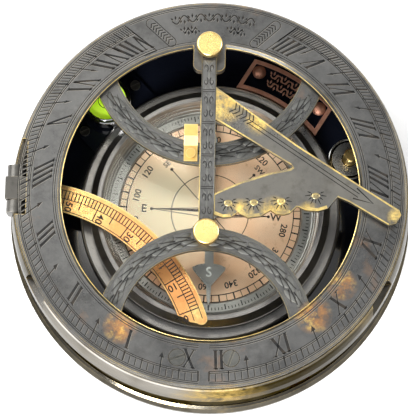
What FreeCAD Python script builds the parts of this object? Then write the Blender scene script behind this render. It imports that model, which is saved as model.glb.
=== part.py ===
import FreeCAD, Part

import math
import os
import re

import Sketcher
from FreeCAD import Placement, Rotation, Vector

# A portable sundial compass, lying flat with its hour ring and gnomon folded down.
# The origin is the middle of the plane that its three levelling screws rest on, +Z is up,
# +Y is the noon side of the hour ring and the ring's hinge is at -X.

SIZES = {
    # case
    "flange_diameter": 127,
    "foot_height": 6,
    "flange_top": 12.5,
    "base_top": 8,
    "ledge_top": 10,
    "floor_top": 11,
    "bead_height": 29,
    "rim_top": 42.6,
    "bore_radius": 56,
    "rim_radius": 59.5,
    "recess_radius": 60,
    "ledge_radius": 54,
    "scoop_radius": 6.3,
    "scoop_floor": 34,
    "scoop_centre": 63.3,
    "first_scoop_angle": 90,
    # levelling screws and their bosses
    "leg_circle": 48,
    "first_leg_angle": 22.5,
    "stud_radius": 2.25,
    "stud_top": 17.5,
    "short_stud_top": 10.9,
    "knob_foot_radius": 7,
    "knob_foot_height": 5.4,
    "well_radius": 6.4,
    "boss_radius": 5.6,
    "base_screw_circle": 57.4,
    "base_screw_radius": 1.2,
    # compass
    "compass_bottom": 9.2,
    "bowl_radius": 32,
    "bowl_wall_radius": 37,
    "compass_flange_radius": 41.3,
    "compass_flange_top": 13.8,
    "well_floor": 10.6,
    "card_top": 11.5,
    "chapter_top": 12.5,
    "chapter_inner": 29,
    "glass_seat": 17.5,
    "glass_radius": 35.8,
    "glass_thickness": 1.5,
    "bezel_radius": 37.8,
    "bezel_edge": 19,
    "bezel_top": 21,
    "needle_height": 15,
    "needle_length": 30,
    "pivot_radius": 0.6,
    # hour ring
    "ring_bottom": 42.8,
    "ring_top": 46,
    "ring_outer": 58.7,
    "ring_inner": 44.7,
    "ring_flat": 55,
    "lug_half_width": 4.85,
    "lug_reach": 37,
    "lug_corner": 2,
    # ring hinge
    "hinge_axis_x": -58.2,
    "hinge_axis_z": 42.7,
    "hinge_barrel": 2.9,
    "hinge_pin_radius": 1.2,
    "hinge_half_gap": 3.5,
    "hinge_half_width": 7.2,
    "notch_floor": 36.6,
    # spider arcs
    "spider_bottom": 40.8,
    "spider_reach": 53,
    "upper_centre": 45.2,
    "upper_inner": 29.8,
    "upper_outer": 36.8,
    "lower_centre": -43,
    "lower_inner": 25.6,
    "lower_outer": 32.5,
    # gnomon
    "noon_offset": -1,
    "gnomon_axis": 48.8,
    "bar_width": 4.4,
    "bar_thickness": 3.2,
    "upper_post": 43.4,
    "lower_post": -13.5,
    "post_radius": 2.6,
    "post_top": 51.6,
    "knob_radius": 3.85,
    "knob_top": 54,
    "gnomon_pin_radius": 0.9,
    "plate_thickness": 2,
    "end_play": 0.2,
    # latitude arc
    "arc_centre_x": -58.4,
    "arc_centre_y": -54.7,
    "arc_outer": 61.3,
    "arc_inner": 53,
    "arc_bottom": 24,
    "arc_thickness": 1.2,
    "arc_shoulder_angle": 22,
    "arc_tip_angle": 18.6,
    "arc_tip_width": 3.7,
    "arc_root_angle": 85,
    "arc_pin_y": 2.5,
    "arc_pin_z": 22.2,
    "arc_pin_radius": 1,
    # bullseye level and nameplate
    "level_circle": 47.9,
    "level_angle": 134.4,
    "level_radius": 7.9,
    "level_top": 19.5,
    "vial_radius": 6.3,
    "plate_top": 12.2,
    "nameplate_angle": 58.5,
    "nameplate_inner": 42,
    "nameplate_outer": 52.5,
    "nameplate_half_width": 14.9,
    "nameplate_border": 1.3,
    "rivet_circle": 47.4,
    "rivet_offset": 11.3,
    # fits
    "running_fit": 0.05,
}

doc = FreeCAD.newDocument("SundialCompass")
sheet = doc.addObject("Spreadsheet::Sheet", "Sizes")
for row, (alias, number) in enumerate(SIZES.items(), start=1):
    sheet.set(f"A{row}", alias)
    sheet.set(f"B{row}", str(number))
    sheet.setAlias(f"B{row}", alias)
doc.recompute()

parts = []


# ---------------------------------------------------------------- helpers


def bound(text):
    """An expression with every size's name pointed at its cell."""
    return re.sub(r"[a-z]\w+", lambda word: "Sizes." + word[0] if word[0] in SIZES else word[0], str(text))


def value(text):
    """The number that an expression in the sheet's names comes to."""
    return float(sheet.evalExpression(bound(text)))


def keep(thing, label, place=None):
    """Name a finished sub-part and place it."""
    thing.Label = label
    if place is not None:
        thing.Placement = place
    parts.append(thing)
    return thing


def polar(radius, degrees, height=0.0):
    angle = math.radians(degrees)
    return Vector(radius * math.cos(angle), radius * math.sin(angle), height)


def outline(body, role, corners, height=0):
    """A closed outline on one of the body's own planes, each corner tied to the sheet."""
    sketch = body.newObject("Sketcher::SketchObject", "Outline")
    plane = [item for item in body.Origin.OriginFeatures if item.Role == role][0]
    sketch.AttachmentSupport = [(plane, "")]
    sketch.MapMode = "FlatFace"
    sketch.setExpression("AttachmentOffset.Base.z", bound(height))
    points = [Vector(value(across), value(along), 0) for across, along in corners]
    for index, point in enumerate(points):
        sketch.addGeometry(Part.LineSegment(point, points[(index + 1) % len(points)]), False)
    for index, corner in enumerate(corners):
        for kind, text in zip(("DistanceX", "DistanceY"), corner):
            number = sketch.addConstraint(Sketcher.Constraint(kind, -1, 1, index, 1, value(text)))
            sketch.setExpression(f"Constraints[{number}]", bound(text))
        follower = (index + 1) % len(corners)
        sketch.addConstraint(Sketcher.Constraint("Coincident", index, 2, follower, 1))
    return sketch


def turned(label, profile, place=None):
    """A body turned about its own Z axis from a profile of (radius, height) corners."""
    body = doc.addObject("PartDesign::Body", label)
    sketch = outline(body, "XZ_Plane", profile)
    spin = body.newObject("PartDesign::Revolution", "Turning")
    spin.Profile = sketch
    spin.ReferenceAxis = (sketch, ["V_Axis"])
    spin.Angle = 360
    sketch.Visibility = False
    return keep(body, label, place)


def padded(label, corners, bottom, depth, role="XY_Plane", place=None):
    """A body padded from an outline; depth runs along the plane's normal."""
    body = doc.addObject("PartDesign::Body", label)
    sketch = outline(body, role, corners, bottom)
    pad = body.newObject("PartDesign::Pad", "Pad")
    pad.Profile = sketch
    pad.setExpression("Length", bound(depth))
    sketch.Visibility = False
    return keep(body, label, place)


def stock(body):
    """Take a sub-part back off the list, to be cut or joined into another."""
    parts.remove(body)
    return body


def cylinder(radius, height, place=Vector(), axis=Vector(0, 0, 1)):
    rod = doc.addObject("Part::Cylinder", "Rod")
    rod.setExpression("Radius", bound(radius))
    rod.setExpression("Height", bound(height))
    rod.Placement = Placement(place, Rotation(Vector(0, 0, 1), axis))
    return rod


def box(length, width, height, corner):
    block = doc.addObject("Part::Box", "Block")
    block.setExpression("Length", bound(length))
    block.setExpression("Width", bound(width))
    block.setExpression("Height", bound(height))
    for name, text in zip("xyz", corner):
        block.setExpression(f"Placement.Base.{name}", bound(text))
    return block


def boolean(kind, base, tools):
    """Base cut by, joined with or limited to each tool in turn."""
    for tool in tools:
        result = doc.addObject(f"Part::{kind}", kind)
        result.Base = base
        result.Tool = tool
        base = result
    return base


def group(label, shapes):
    """Identical separate solids that share one node."""
    feature = doc.addObject("Part::Feature", label)
    feature.Shape = Part.makeCompound(shapes)
    return keep(feature, label)


def screw_shape(shank, head, length, thickness):
    """A slotted screw standing on its head's top face at the origin, shank downwards."""
    shaft = Part.makeCylinder(shank, length, Vector(0, 0, -length))
    cap = Part.makeCylinder(head, thickness, Vector(0, 0, -thickness))
    slot = Part.makeBox(3 * head, head / 4, thickness / 2, Vector(-1.5 * head, -head / 8, -thickness / 2))
    return shaft.fuse(cap).cut(slot)


def moved(shape, place, rotation=Rotation()):
    copy = shape.copy()
    copy.Placement = Placement(place, rotation)
    return copy


def thirds(first):
    return [value(first) + 120 * step for step in range(3)]


LEGS = thirds("first_leg_angle")
LEG_NAMES = ("right", "rear", "front")


# ---------------------------------------------------------------- case


def case_drum():
    drum = stock(turned("DrumTurning", [
        ("bore_radius", "ledge_top"),
        ("bore_radius", "rim_top"),
        ("rim_radius - 0.4", "rim_top"),
        ("rim_radius", "rim_top - 0.6"),
        ("rim_radius + 0.5", "rim_top - 3.2"),
        ("rim_radius + 1.3", "rim_top - 8"),
        ("rim_radius + 1.8", "bead_height + 1"),
        ("rim_radius + 1.9", "bead_height"),
        ("rim_radius + 1.3", "bead_height - 0.6"),
        ("rim_radius + 0.9", "bead_height - 4"),
        ("rim_radius + 0.7", "bead_height - 9"),
        ("rim_radius + 1", "flange_top + 4"),
        ("rim_radius + 2", "flange_top + 0.5"),
        ("flange_diameter / 2 - 1.1", "flange_top"),
        ("flange_diameter / 2", "flange_top - 2"),
        ("flange_diameter / 2", "foot_height + 1"),
        ("flange_diameter / 2 - 1", "foot_height"),
        ("recess_radius", "foot_height"),
        ("recess_radius", "base_top"),
        ("ledge_radius", "base_top"),
        ("ledge_radius", "ledge_top"),
    ]))
    cuts = []
    for angle in thirds("first_scoop_angle"):
        cuts.append(cylinder("scoop_radius", "rim_top - scoop_floor + 1",
                             polar(value("scoop_centre"), angle, value("scoop_floor"))))
    cuts.append(box("12", "2 * hinge_half_width", "rim_top", ("hinge_axis_x - 8", "-hinge_half_width", "notch_floor")))
    for angle in LEGS:
        cuts.append(cylinder("base_screw_radius", "4",
                             polar(value("base_screw_circle"), angle + 60, value("base_top"))))
    keep(boolean("Cut", drum, cuts), "case_drum")


def base_plate():
    plate = cylinder("recess_radius", "base_top - foot_height", Vector(0, 0, value("foot_height")))
    bosses = [cylinder("boss_radius", "floor_top - base_top + 1",
                       polar(value("leg_circle"), angle, value("base_top") - 1)) for angle in LEGS]
    holes = [cylinder("stud_radius + running_fit", "floor_top",
                      polar(value("leg_circle"), angle, value("foot_height") - 1)) for angle in LEGS]
    for angle in LEGS:
        seat = polar(value("base_screw_circle"), angle + 60, value("foot_height") - 1)
        holes.append(cylinder("base_screw_radius", "4", seat))
        holes.append(cylinder("base_screw_radius + 1", "2", seat))
    keep(boolean("Cut", boolean("Fuse", plate, bosses), holes), "base_plate")


def base_screws():
    shank = value("base_screw_radius")
    screw = screw_shape(shank, shank + 1, 5.5, 1)
    group("base_screws", [
        moved(screw, polar(value("base_screw_circle"), angle + 60, value("foot_height")),
              Rotation(Vector(1, 0, 0), 180)) for angle in LEGS
    ])


def floor_plate():
    disc = cylinder("bore_radius - 0.05", "floor_top - ledge_top", Vector(0, 0, value("ledge_top")))
    holes = [cylinder("well_radius", "4", polar(value("leg_circle"), angle, value("ledge_top") - 1))
             for angle in LEGS]
    holes.append(cylinder("bowl_wall_radius", "4", Vector(0, 0, value("ledge_top") - 1)))
    keep(boolean("Cut", disc, holes), "floor_plate")


def levelling_screw(name, angle, top):
    screw = stock(turned("ScrewTurning", [
        ("0", "0"),
        ("knob_foot_radius - 1.5", "0"),
        ("knob_foot_radius", "1.2"),
        ("knob_foot_radius", "knob_foot_height"),
        ("stud_radius", "knob_foot_height"),
        ("stud_radius", top + " - 0.5"),
        ("stud_radius - 0.5", top),
        ("0", top),
    ]))
    keep(screw, "levelling_screw_" + name, Placement(polar(value("leg_circle"), angle), Rotation()))


# ---------------------------------------------------------------- compass


def compass():
    turned("compass_housing", [
        ("0", "compass_bottom"),
        ("bowl_wall_radius - 0.2", "compass_bottom"),
        ("bowl_wall_radius - 0.2", "floor_top"),
        ("compass_flange_radius", "floor_top"),
        ("compass_flange_radius", "compass_flange_top - 0.6"),
        ("compass_flange_radius - 0.4", "compass_flange_top"),
        ("bowl_wall_radius", "compass_flange_top"),
        ("bowl_wall_radius", "glass_seat"),
        ("bowl_radius + 2.2", "glass_seat"),
        ("bowl_radius", "chapter_top"),
        ("bowl_radius", "well_floor"),
        ("0", "well_floor"),
    ])
    turned("compass_card", [
        ("pivot_radius", "well_floor"),
        ("bowl_radius", "well_floor"),
        ("bowl_radius", "card_top"),
        ("pivot_radius", "card_top"),
    ])
    turned("chapter_ring", [
        ("chapter_inner", "card_top"),
        ("bowl_radius", "card_top"),
        ("bowl_radius", "chapter_top"),
        ("chapter_inner + 0.3", "chapter_top"),
        ("chapter_inner", "chapter_top - 0.3"),
    ])
    turned("needle_pivot", [
        ("0", "well_floor"),
        ("pivot_radius", "well_floor"),
        ("pivot_radius", "needle_height - 1"),
        ("0.05", "needle_height + 0.6"),
        ("0", "needle_height + 0.6"),
    ])
    turned("compass_glass", [
        ("0", "glass_seat"),
        ("glass_radius", "glass_seat"),
        ("glass_radius", "glass_seat + glass_thickness"),
        ("0", "glass_seat + glass_thickness"),
    ])
    turned("compass_bezel", [
        ("bowl_wall_radius", "compass_flange_top"),
        ("bezel_radius", "compass_flange_top"),
        ("bezel_radius", "bezel_edge"),
        ("bezel_radius - 2.4", "bezel_top"),
        ("bezel_radius - 3.6", "bezel_top"),
        ("bezel_radius - 4", "glass_seat + glass_thickness"),
        ("glass_radius", "glass_seat + glass_thickness"),
        ("glass_radius", "glass_seat"),
        ("bowl_wall_radius", "glass_seat"),
    ])


def compass_needle():
    north = [("-1.2", "3"), ("-1.9", "needle_length - 7"), ("0", "needle_length"), ("1.9", "needle_length - 7"),
             ("1.2", "3")]
    south = [("1.4", "13"), ("3.5", "12.6"), ("5.2", "11.8"), ("5", "10.9"), ("3.5", "9.1"), ("2.3", "7.8"),
             ("0.8", "6"), ("0.5", "1")]
    east = [(across, f"{above} - needle_length") for across, above in south]
    west = [("-" + across, height) for across, height in reversed(east)]
    blade = stock(padded("NeedleBlade", north + east + [("0", "-needle_length")] + west, "needle_height", "0.5"))
    hole = cylinder("2", "2", Vector(0, 0, value("needle_height") - 1))
    hub = cylinder("3", "0.5", Vector(0, 0, value("needle_height")))
    keep(boolean("Cut", boolean("Fuse", blade, [hub]), [hole]), "compass_needle")
    turned("needle_cap", [
        ("0.9", "needle_height - 0.6"),
        ("2", "needle_height - 0.6"),
        ("2", "needle_height + 1"),
        ("1", "needle_height + 1.9"),
        ("0", "needle_height + 1.9"),
        ("0", "needle_height + 0.7"),
    ])


# ---------------------------------------------------------------- level and nameplate


def ring_sector(label, inner, outer, middle, half_width, bottom, thickness):
    """A plate between two arcs about the origin with straight parallel ends."""
    place = Placement(Vector(0, 0, value(bottom)), Rotation(Vector(0, 0, 1), value(middle)))
    outside = doc.addObject("Part::Cylinder", "Outside")
    outside.setExpression("Radius", bound(outer))
    outside.setExpression("Height", bound(thickness))
    outside.Placement = place
    inside = doc.addObject("Part::Cylinder", "Inside")
    inside.setExpression("Radius", bound(inner))
    inside.setExpression("Height", bound(thickness))
    inside.Placement = place
    strip = doc.addObject("Part::Box", "Strip")
    strip.setExpression("Length", bound(outer))
    strip.setExpression("Width", bound(f"2 * ({half_width})"))
    strip.setExpression("Height", bound(thickness))
    strip.Placement = place.multiply(Placement(Vector(0, -value(half_width), 0), Rotation()))
    return boolean("Cut", boolean("Common", outside, [strip]), [inside])


def bullseye_level():
    centre = polar(value("level_circle"), value("level_angle"))
    place = Placement(centre, Rotation())
    plate = ring_sector("Plate", "compass_flange_radius + 0.3", "bore_radius - 0.3", "level_angle",
                        "level_radius + 5.5", "floor_top", "plate_top - floor_top")
    spots = [polar(48, value("level_angle") + side * 13.3, value("plate_top")) for side in (-1, 1)]
    holes = [cylinder("0.8", "4", spot - Vector(0, 0, 2)) for spot in spots]
    keep(boolean("Cut", plate, holes), "level_mount_plate")
    turned("level_housing", [
        ("0", "plate_top"),
        ("level_radius - 1.9", "plate_top"),
        ("level_radius - 1.9", "compass_flange_top + 0.4"),
        ("level_radius", "compass_flange_top + 0.8"),
        ("level_radius", "level_top - 0.5"),
        ("level_radius - 0.5", "level_top"),
        ("vial_radius", "level_top"),
        ("vial_radius", "compass_flange_top + 1"),
        ("0", "compass_flange_top + 1"),
    ], place)
    turned("level_liquid", [
        ("0", "compass_flange_top + 1"),
        ("vial_radius", "compass_flange_top + 1"),
        ("vial_radius", "level_top - 1.5"),
        ("0", "level_top - 1.5"),
    ], place)
    turned("level_lens", [
        ("0", "level_top - 1.5"),
        ("vial_radius", "level_top - 1.5"),
        ("vial_radius", "level_top - 0.3"),
        ("0", "level_top - 0.1"),
    ], place)
    screw = screw_shape(0.8, 1.6, 1.2, 0.7)
    group("level_screws", [
        moved(screw, spot + Vector(0, 0, 0.7), Rotation(Vector(0, 0, 1), 25)) for spot in spots
    ])


def nameplate():
    edge = "nameplate_border"
    half = "nameplate_half_width"
    plate = ring_sector("Plate", "nameplate_inner", "nameplate_outer", "nameplate_angle", half,
                        "floor_top", "plate_top - floor_top")
    recess = ring_sector("Recess", f"nameplate_inner + {edge}", f"nameplate_outer - {edge}", "nameplate_angle",
                         f"{half} - {edge}", "floor_top + 0.6", "1")
    inlay = ring_sector("Inlay", f"nameplate_inner + {edge}", f"nameplate_outer - {edge}", "nameplate_angle",
                        f"{half} - {edge}", "floor_top + 0.6", "0.4")
    turn = Rotation(Vector(0, 0, 1), value("nameplate_angle"))
    spots = [turn.multVec(Vector(value("rivet_circle"), side * value("rivet_offset"), value("floor_top") + 0.6))
             for side in (-1, 1)]
    holes = [cylinder("2.2", "2", spot) for spot in spots]
    keep(boolean("Cut", plate, [recess]), "nameplate")
    keep(boolean("Cut", inlay, holes), "nameplate_inlay")
    rivet = Part.makeCylinder(2.2, 0.5).fuse(
        Part.makeSphere(2.6, Vector(0, 0, 0.5 - math.sqrt(2.6**2 - 2.2**2))).common(
            Part.makeCylinder(2.2, 2, Vector(0, 0, 0.5))))
    group("nameplate_rivets", [moved(rivet, spot) for spot in spots])


# ---------------------------------------------------------------- latitude arc


def arc_wedge(first, last, centre):
    """A slice of a disc, as thick as the latitude arc, between two angles."""
    wedge = doc.addObject("Part::Cylinder", "Wedge")
    wedge.setExpression("Radius", bound("arc_outer"))
    wedge.setExpression("Height", bound("arc_thickness"))
    wedge.setExpression("Angle", bound(f"{last} - {first}"))
    wedge.Placement = Placement(centre, Rotation(Vector(0, 0, 1), value(first)))
    return wedge


def arc_corner(radius, angle):
    """A corner of an outline drawn about the latitude arc's own centre."""
    return f"({radius}) * cos({angle})", f"({radius}) * sin({angle})"


def arc_heel(centre):
    """The curved end that narrows the scale band to its tongue."""
    return stock(padded("ArcHeel", [
        arc_corner("arc_inner", "arc_shoulder_angle"),
        arc_corner("arc_inner + 1.8", "arc_shoulder_angle - 1.5"),
        arc_corner("arc_inner + 2.9", "arc_tip_angle + 0.1"),
        arc_corner("arc_outer - 3.3", "arc_tip_angle - 1"),
        arc_corner("arc_outer - 1", "arc_tip_angle"),
        arc_corner("arc_outer - 1", "arc_shoulder_angle + 1"),
        arc_corner("arc_inner + 0.5", "arc_shoulder_angle + 1"),
    ], "0", "arc_thickness", place=Placement(centre, Rotation())))


def latitude_arc():
    rise = Vector(0, 0, value("arc_bottom"))
    centre = Vector(value("arc_centre_x"), value("arc_centre_y"), 0) + rise
    band = boolean("Cut", arc_wedge("arc_shoulder_angle", "arc_root_angle", centre), [
        cylinder("arc_inner", "4", centre - Vector(0, 0, 1))])
    tongue = boolean("Cut", arc_wedge("arc_tip_angle", "arc_shoulder_angle + 1", centre), [
        cylinder("arc_outer - arc_tip_width", "4", centre - Vector(0, 0, 1))])
    tip = cylinder("arc_tip_width / 2", "arc_thickness",
                   centre + polar(value("arc_outer - arc_tip_width / 2"), value("arc_tip_angle")))
    band = boolean("Fuse", band, [tongue, tip, arc_heel(centre)])
    keep(band, "latitude_arc")
    knuckle = box("4.6", "4", "arc_bottom - arc_pin_z + 1.8", ("-53.8", "arc_pin_y - 2", "arc_pin_z - 1.8"))
    bore = cylinder("arc_pin_radius + running_fit", "8",
                    Vector(-55.5, value("arc_pin_y"), value("arc_pin_z")), Vector(1, 0, 0))
    keep(boolean("Cut", knuckle, [bore]), "latitude_arc_knuckle")
    block = box("3", "9", "8", ("-57", "arc_pin_y - 4.5", "arc_pin_z - 4.5"))
    wall = cylinder("bore_radius", "20", Vector(0, 0, value("arc_pin_z") - 8))
    seat = cylinder("arc_pin_radius", "8",
                    Vector(-57.5, value("arc_pin_y"), value("arc_pin_z")), Vector(1, 0, 0))
    keep(boolean("Cut", boolean("Common", block, [wall]), [seat]), "arc_hinge_bracket")
    shaft = cylinder("arc_pin_radius", "6.5",
                     Vector(-55.5, value("arc_pin_y"), value("arc_pin_z")), Vector(1, 0, 0))
    head = cylinder("arc_pin_radius + 0.7", "0.9",
                    Vector(-49.1, value("arc_pin_y"), value("arc_pin_z")), Vector(1, 0, 0))
    keep(boolean("Fuse", shaft, [head]), "arc_hinge_pin")


# ---------------------------------------------------------------- hour ring and its hinge


def hinge_rod(radius, start, stop):
    """A cylinder on the ring's hinge axis between two distances along Y."""
    return cylinder(radius, f"({stop}) - ({start})",
                    Vector(value("hinge_axis_x"), value(start), value("hinge_axis_z")), Vector(0, 1, 0))


def ring_hinge():
    back = "hinge_axis_x - hinge_barrel"
    ears = []
    for start in ("-hinge_half_width", "hinge_half_gap"):
        web = box("2 * hinge_barrel", "hinge_half_width - hinge_half_gap", "hinge_axis_z - notch_floor",
                  (back, start, "notch_floor"))
        ears.append(boolean("Fuse", web, [
            hinge_rod("hinge_barrel", start, f"{start} + hinge_half_width - hinge_half_gap")]))
    bridge = box("2 * hinge_barrel", "2 * hinge_half_gap", "2.6", (back, "-hinge_half_gap", "notch_floor"))
    bracket = boolean("Fuse", bridge, ears)
    keep(boolean("Cut", bracket, [hinge_rod("hinge_pin_radius", "-hinge_half_width - 1", "hinge_half_width + 1")]),
         "hinge_bracket")
    keep(hinge_rod("hinge_pin_radius", "-hinge_half_width", "hinge_half_width"), "hinge_pin")
    inner = "hinge_half_gap - 0.1"
    barrel = hinge_rod("hinge_barrel", f"-({inner})", inner)
    arm = box("6.3", f"2 * ({inner})", "ring_top - ring_bottom", ("-61.3", f"-({inner})", "ring_bottom"))
    keep(boolean("Cut", boolean("Fuse", barrel, [arm]), [
        hinge_rod("hinge_pin_radius + running_fit", "-hinge_half_width", "hinge_half_width")]), "ring_hinge_block")


def ring_screw_spots():
    return [Vector(value("noon_offset") + side * 7.9, -49.9, value("ring_top")) for side in (-1, 1)]


def hour_ring():
    disc = stock(turned("RingTurning", [
        ("ring_inner + 0.8", "ring_bottom"),
        ("ring_outer - 0.3", "ring_bottom"),
        ("ring_outer", "ring_bottom + 0.3"),
        ("ring_outer", "ring_top - 0.5"),
        ("ring_outer - 0.5", "ring_top"),
        ("ring_inner + 0.8", "ring_top"),
        ("ring_inner", "ring_top - 0.8"),
        ("ring_inner", "ring_bottom + 0.8"),
    ]))
    thickness = "ring_top - ring_bottom"
    lug = [
        box("2 * lug_half_width", "ring_inner + 3 - lug_reach - lug_corner", thickness,
            ("noon_offset - lug_half_width", "lug_reach + lug_corner", "ring_bottom")),
        box("2 * lug_half_width - 2 * lug_corner", "ring_inner + 3 - lug_reach", thickness,
            ("noon_offset + lug_corner - lug_half_width", "lug_reach", "ring_bottom")),
    ]
    for side in (-1, 1):
        corner = Vector(value("noon_offset") + side * value("lug_half_width - lug_corner"),
                        value("lug_reach + lug_corner"), value("ring_bottom"))
        lug.append(cylinder("lug_corner", thickness, corner))
    holes = [box("8", "23", "8", ("-ring_flat - 8", "-8", "ring_bottom - 2"))]
    for spot in ring_screw_spots():
        holes.append(cylinder("1.3", "8", spot - Vector(0, 0, 6)))
        holes.append(cylinder("2.4", "2", spot - Vector(0, 0, 1)))
    keep(boolean("Cut", boolean("Fuse", disc, lug), holes), "hour_ring")


def noon(along, height):
    """A point over the noon line."""
    return Vector(value("noon_offset"), value(along), value(height))


def spider_arc(label, centre, inner, outer):
    height = "ring_bottom - spider_bottom"
    middle = noon(centre, "spider_bottom")
    band = boolean("Cut", cylinder(outer, height, middle), [cylinder(inner, height, middle)])
    limit = cylinder("spider_reach", height, Vector(0, 0, value("spider_bottom")))
    keep(boolean("Common", band, [limit]), label)


def gnomon_posts():
    for name, place, foot in (("upper", "upper_post", "ring_top"), ("lower", "lower_post", "ring_bottom")):
        post = cylinder("post_radius", f"post_top - {foot}", noon(place, foot))
        start = noon(place + " - 5", "gnomon_axis")
        bore = cylinder("gnomon_pin_radius + running_fit", "10", start, Vector(0, 1, 0))
        keep(boolean("Cut", post, [bore]), "gnomon_post_" + name)
    thickness = value("knob_top") - value("post_top")
    knob = Part.makeCylinder(value("knob_radius"), thickness)
    rim = [edge for edge in knob.Edges if abs(edge.BoundBox.ZMin - thickness) < 0.01 and len(edge.Vertexes) == 1]
    knob = knob.makeFillet(0.6, rim)
    group("post_knobs", [moved(knob, noon(place, "post_top")) for place in ("upper_post", "lower_post")])


def leaf_spring():
    spring = [
        ("9.6", "ring_bottom"), ("14.6", "ring_bottom"), ("17.4", "ring_bottom + 1.6"), ("20.5", "ring_bottom + 2.2"),
        ("20.5", "ring_bottom + 2.9"), ("17.1", "ring_bottom + 2.3"), ("14.4", "ring_bottom + 0.7"),
        ("9.6", "ring_bottom + 0.7"),
    ]
    strip = stock(padded("SpringStrip", spring, "4.1", "4.1", "YZ_Plane", Placement(Vector(-12.3, 0, 0), Rotation())))
    spot = Vector(-6.15, 12, value("ring_bottom"))
    keep(boolean("Cut", strip, [cylinder("0.9", "3", spot - Vector(0, 0, 1))]), "leaf_spring")
    rivet = Part.makeCylinder(0.9, 0.7).fuse(Part.makeCylinder(1.5, 0.6, Vector(0, 0, 0.7)))
    group("leaf_spring_rivet", [moved(rivet, spot)])


def ring_catch():
    block = box("20", "8", "2.8", ("-10", "-54", "ring_bottom - 2.8"))
    spots = ring_screw_spots()
    holes = [cylinder("1.3", "8", spot - Vector(0, 0, 6)) for spot in spots]
    keep(boolean("Cut", block, holes), "ring_catch")
    screw = screw_shape(1.3, 2.4, 5.8, 1)
    group("ring_catch_screws", [
        moved(screw, spot, Rotation(Vector(0, 0, 1), 20 + 50 * index)) for index, spot in enumerate(spots)
    ])


# ---------------------------------------------------------------- gnomon


def gnomon_bar():
    low = "lower_post + post_radius + end_play"
    high = "upper_post - post_radius - end_play"
    bar = box("bar_width", f"{high} - ({low})", "bar_thickness",
              ("noon_offset - bar_width / 2", low, "gnomon_axis - bar_thickness / 2"))
    along = Vector(0, 1, 0)
    bores = [cylinder("gnomon_pin_radius", "4", noon(end, "gnomon_axis"), along)
             for end in (low + " - 1", high + " - 3")]
    keep(boolean("Cut", bar, bores), "gnomon_bar")
    pin = Part.makeCylinder(value("gnomon_pin_radius"), 5, Vector(), along)
    group("gnomon_pivot_pins", [moved(pin, noon(start, "gnomon_axis")) for start in (low + " - 2", high + " - 3")])


def gnomon_plate():
    edge = "bar_width / 2"
    bottom = "gnomon_axis - plate_thickness / 2"
    place = Placement(Vector(value("noon_offset"), 0, 0), Rotation())
    blank = stock(padded("PlateBlank", [
        (edge, "31"), ("26.9", "13.4"), ("44.3", "2.35"), ("56.9", "-5.5"), ("57.5", "-7"), ("56", "-9.5"),
        ("53.9", "-10.1"), ("42.3", "-3.4"), ("38.7", "-1.9"), ("35.8", "-5.4"), ("32.8", "-6.3"),
        ("29.4", "-6"), ("26.7", "-4.9"), ("24.6", "-7"), ("22.8", "-7.5"), ("20.6", "-7.3"), ("18.9", "-6.2"),
        ("15.8", "-8.1"), ("12.3", "-8.6"), ("9.3", "-7"), ("7.2", "-8.5"), ("4.8", "-8.7"), (edge, "-7.8"),
    ], bottom, "plate_thickness", place=place))
    window = stock(padded("PlateWindow", [
        (edge + " - 0.5", "21.4"), ("25", "7.6"), ("25.6", "6.6"), ("24.6", "6"), ("18.1", "4.5"),
        ("10.6", "1.9"), ("5.5", "-0.3"), (edge + " - 0.5", "-1.9"),
    ], bottom + " - 1", "plate_thickness + 2", place=place))
    keep(boolean("Cut", blank, [window]), "gnomon_plate")


# ---------------------------------------------------------------- build, check, write

case_drum()
base_plate()
base_screws()
floor_plate()
for leg_name, leg_angle in zip(LEG_NAMES, LEGS):
    levelling_screw(leg_name, leg_angle, "short_stud_top" if leg_name == "rear" else "stud_top")
compass()
compass_needle()
bullseye_level()
nameplate()
latitude_arc()
ring_hinge()
hour_ring()
spider_arc("upper_spider_arc", "upper_centre", "upper_inner", "upper_outer")
spider_arc("lower_spider_arc", "lower_centre", "lower_inner", "lower_outer")
gnomon_posts()
leaf_spring()
ring_catch()
gnomon_bar()
gnomon_plate()
doc.recompute()

for thing in doc.Objects:
    if "Invalid" in thing.State or "Error" in thing.State:
        raise RuntimeError(f"{thing.Name} ({thing.Label}) failed: {thing.State}")
for part in parts:
    if part.Shape.isNull() or not part.Shape.isValid():
        raise RuntimeError(f"{part.Label} has no valid shape")

os.makedirs("parts", exist_ok=True)
for part in parts:
    part.Shape.exportStep(f"parts/{part.Label}.step")
    print(part.Label, len(part.Shape.Solids), round(part.Shape.Volume, 1))
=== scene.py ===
import math
from functools import lru_cache

import bmesh
import bpy
from mathutils import Matrix, Vector


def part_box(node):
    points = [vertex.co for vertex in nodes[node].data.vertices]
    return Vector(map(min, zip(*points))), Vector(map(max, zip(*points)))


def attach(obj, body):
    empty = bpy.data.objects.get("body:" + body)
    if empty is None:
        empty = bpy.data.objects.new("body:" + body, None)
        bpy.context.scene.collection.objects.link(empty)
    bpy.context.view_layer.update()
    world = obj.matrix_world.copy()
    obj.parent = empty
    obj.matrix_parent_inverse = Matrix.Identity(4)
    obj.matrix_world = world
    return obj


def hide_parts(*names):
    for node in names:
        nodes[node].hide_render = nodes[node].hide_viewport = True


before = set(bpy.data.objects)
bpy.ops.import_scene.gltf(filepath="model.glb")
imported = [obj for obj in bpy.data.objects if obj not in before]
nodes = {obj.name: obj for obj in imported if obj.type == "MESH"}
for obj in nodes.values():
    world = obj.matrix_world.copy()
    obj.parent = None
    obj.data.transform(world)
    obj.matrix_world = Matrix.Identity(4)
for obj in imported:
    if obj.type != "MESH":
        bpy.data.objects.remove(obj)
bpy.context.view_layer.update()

MM = 0.001


# -------------------- measures from the frame, in millimetres


def low_high(node):
    """The lowest and highest corner of a CAD node's box."""
    low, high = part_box(node)
    return low / MM, high / MM


def top_of(node):
    return low_high(node)[1].z


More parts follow.
